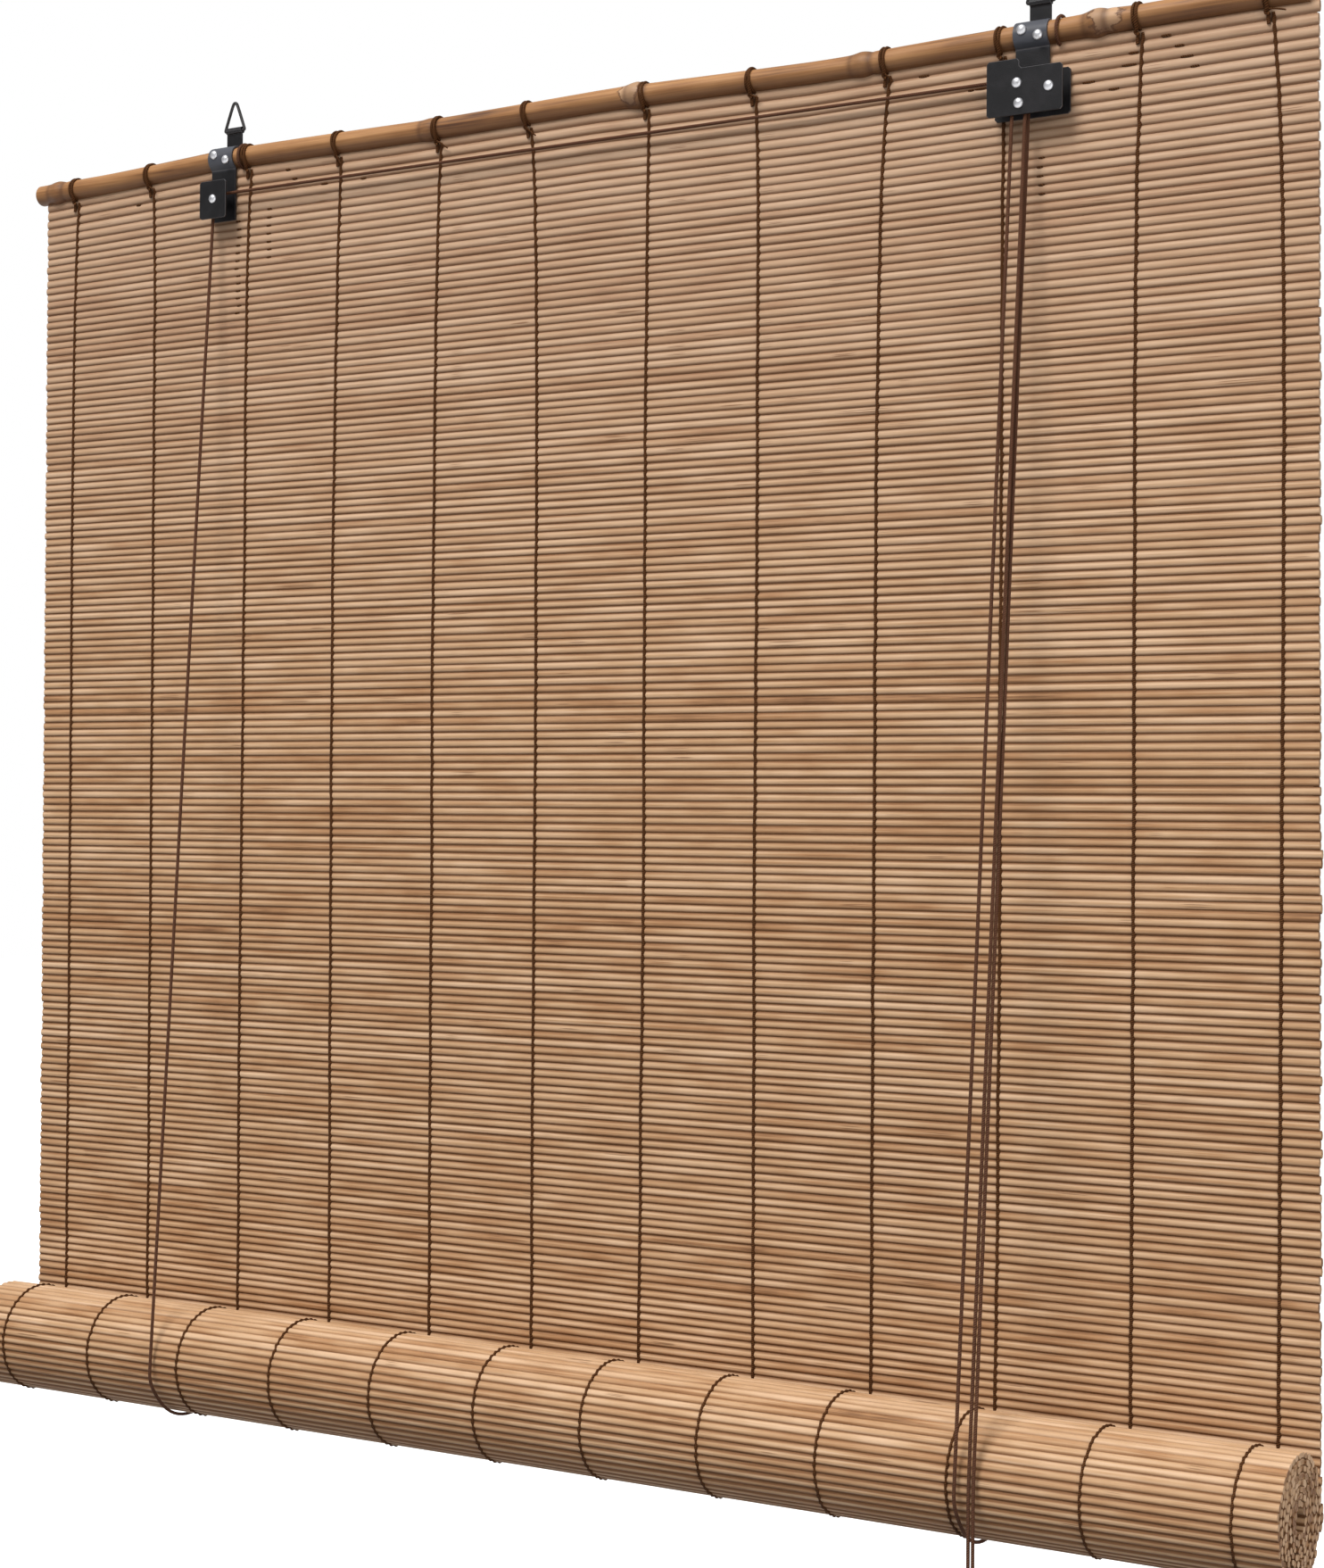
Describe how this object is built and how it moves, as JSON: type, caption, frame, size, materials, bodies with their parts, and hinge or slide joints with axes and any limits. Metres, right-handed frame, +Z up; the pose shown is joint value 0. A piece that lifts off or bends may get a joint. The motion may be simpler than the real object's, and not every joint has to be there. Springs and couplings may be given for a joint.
{
  "type": "roll up blind",
  "caption": "Roll up blind of bamboo reeds hung from a cane pole, half raised: cords over pulleys and a cord lock lift the rolled lower end.",
  "frame": {"origin": "midway between the two wall hooks, on the line where they bear on the hanging rings", "axes": "+X along the pole to the viewer's right, +Y into the wall, +Z up"},
  "size_m": [0.81, 0.0757, 0.8073],
  "materials": {
    "reed": "peeled reed, matt",
    "cane": "scraped bamboo, satin",
    "thread": "twisted thread",
    "sheet_metal": "dark brown paint, satin",
    "wire": "dark paint, satin",
    "rivet": "bright",
    "wheel": "moulded",
    "cam": "plain",
    "cord": "braided cord"
  },
  "bodies": {
    "head": {"pole": "cane", "reed_mat": "reed", "warp_threads": "thread", "warp_ties": "thread", "left_hanger_tab": "sheet_metal", "right_hanger_tab": "sheet_metal", "left_strap": "sheet_metal", "lock_strap": "sheet_metal", "left_front_plate": "sheet_metal", "lock_front_plate": "sheet_metal", "strap_rivets": "rivet", "axle_rivets": "rivet", "cord_anchors": "cord", "left_lift_front": "cord", "right_lift_front": "cord", "left_lift_back": "cord", "right_lift_back": "cord", "head_cords": "cord", "front_pull_run": "cord", "rear_pull_run": "cord", "front_pull_tail": "cord", "rear_pull_tail": "cord"},
    "slings": {"lift_slings": "cord"},
    "roll": {"mat_roll": "reed"},
    "pull_end": {"pull_knot": "cord"},
    "left_wheel": {"left_pulley": "wheel"},
    "lift_wheel": {"lift_pulley": "wheel"},
    "cross_wheel": {"cross_pulley": "wheel"},
    "cam": {"lock_cam": "cam"},
    "left_ring": {"left_hook_ring": "wire"},
    "right_ring": {"right_hook_ring": "wire"}
  },
  "joints": [
    {"name": "roll_lift", "type": "slide", "parent": "head", "child": "slings", "axis": [0, 0, 1], "range_m": [0, 0.573], "deforming": ["reed_mat", "warp_threads", "left_lift_front", "right_lift_front", "left_lift_back", "right_lift_back", "front_pull_run", "rear_pull_run", "front_pull_tail", "rear_pull_tail"]},
    {"name": "roll_spin", "type": "hinge", "parent": "slings", "child": "roll", "pos_m": [0, -0.037, -0.73054], "axis": [1, 0, 0], "range_deg": [-1081, 0]},
    {"name": "pull_draw", "type": "slide", "parent": "slings", "child": "pull_end", "axis": [0, 0, 1], "range_m": [-1.7195, 0]},
    {"name": "left_wheel_spin", "type": "hinge", "parent": "head", "child": "left_wheel", "pos_m": [-0.2575, -0.0142, -0.05925], "axis": [0, 1, 0], "continuous": true},
    {"name": "lift_wheel_spin", "type": "hinge", "parent": "head", "child": "lift_wheel", "pos_m": [0.2535, -0.0158, -0.05925], "axis": [0, 1, 0], "continuous": true},
    {"name": "cross_wheel_spin", "type": "hinge", "parent": "head", "child": "cross_wheel", "pos_m": [0.2535, -0.012, -0.05925], "axis": [0, 1, 0], "continuous": true},
    {"name": "cam_release", "type": "hinge", "parent": "head", "child": "cam", "pos_m": [0.2703, -0.0142, -0.06275], "axis": [0, -1, 0], "range_deg": [0, 35]},
    {"name": "left_ring_swing", "type": "hinge", "parent": "head", "child": "left_ring", "pos_m": [-0.2575, 0, -0.0155], "axis": [1, 0, 0], "range_deg": [-85, 85]},
    {"name": "right_ring_swing", "type": "hinge", "parent": "head", "child": "right_ring", "pos_m": [0.2575, 0, -0.0155], "axis": [1, 0, 0], "range_deg": [-85, 85]}
  ],
  "couplings": [
    {"joint": "roll_spin", "follows": "roll_lift", "rad_per_m": -32.895},
    {"joint": "pull_draw", "follows": "roll_lift", "ratio": -3}
  ]
}
